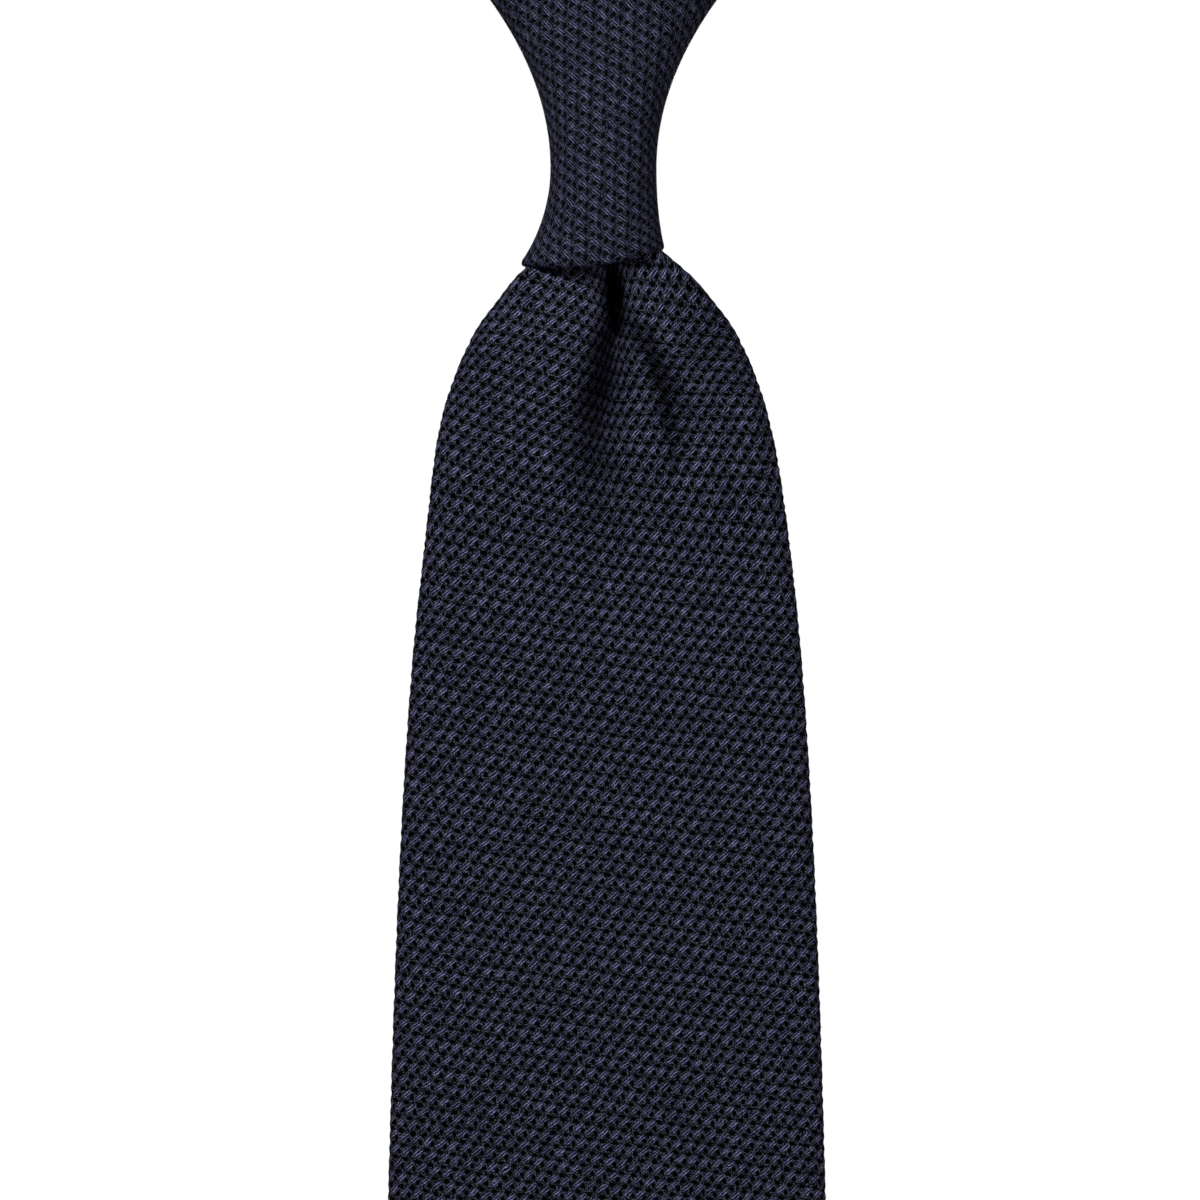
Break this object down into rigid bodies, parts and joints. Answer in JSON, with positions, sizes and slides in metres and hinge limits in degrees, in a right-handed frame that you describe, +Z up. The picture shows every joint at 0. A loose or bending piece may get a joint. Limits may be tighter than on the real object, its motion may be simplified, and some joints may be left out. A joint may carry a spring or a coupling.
{
  "type": "necktie",
  "caption": "Folded silk necktie tied in a four-in-hand: neck loop, sliding knot, swinging front blade with keeper loop, and a narrow tail that draws up through the keeper.",
  "frame": {"origin": "middle of the inside face of the neck loop at the back of the neck, where the tie bears on the collar", "axes": "+Z up; the blade hangs along -Z; the wearer's front and the good side of the blade face -Y; +X is to a viewer's right when facing the front"},
  "size_m": [0.1274, 0.1606, 0.5655],
  "materials": {
    "grenadine_silk": "open gauze weave silk, matt with a fine thread lustre",
    "wool_interlining": "brushed plain-weave wool",
    "tipping_silk": "plain silk lining, soft sheen",
    "silk_thread": "twisted silk sewing thread",
    "label_satin": "blank woven satin"
  },
  "bodies": {
    "neckband": {"neck_casing": "grenadine_silk", "neck_interlining": "wool_interlining", "neck_slip_stitch": "silk_thread", "left_loop_strand": "grenadine_silk", "right_loop_strand": "grenadine_silk"},
    "knot": {"knot_front_wrap": "grenadine_silk", "knot_rear_wrap": "grenadine_silk", "knot_first_cross": "grenadine_silk", "knot_rise": "grenadine_silk", "knot_tail_core": "grenadine_silk"},
    "blade": {"blade_casing": "grenadine_silk", "blade_interlining": "wool_interlining", "blade_tipping": "tipping_silk", "blade_slip_stitch": "silk_thread", "blade_bar_tack": "silk_thread", "slack_thread_loop": "silk_thread", "keeper_loop": "grenadine_silk", "keeper_tack_left": "silk_thread", "keeper_tack_right": "silk_thread", "blank_label": "label_satin", "tail_upper_strand": "grenadine_silk"},
    "tail": {"tail_casing": "grenadine_silk", "tail_interlining": "wool_interlining", "tail_tipping": "tipping_silk", "tail_slip_stitch": "silk_thread", "tail_bar_tack": "silk_thread"}
  },
  "joints": [
    {"name": "knot_slide", "type": "slide", "parent": "neckband", "child": "knot", "axis": [0, 0, -1], "range_m": [0, 0.04], "deforming": ["left_loop_strand", "right_loop_strand"]},
    {"name": "blade_swing", "type": "hinge", "parent": "knot", "child": "blade", "pos_m": [0, -0.148, -0.107], "axis": [-1, 0, 0], "range_deg": [0, 90]},
    {"name": "tail_slide", "type": "slide", "parent": "blade", "child": "tail", "axis": [0, 0, 1], "range_m": [0, 0.08], "deforming": ["tail_upper_strand"]}
  ],
  "couplings": [
    {"joint": "tail_slide", "follows": "knot_slide", "ratio": 2}
  ]
}
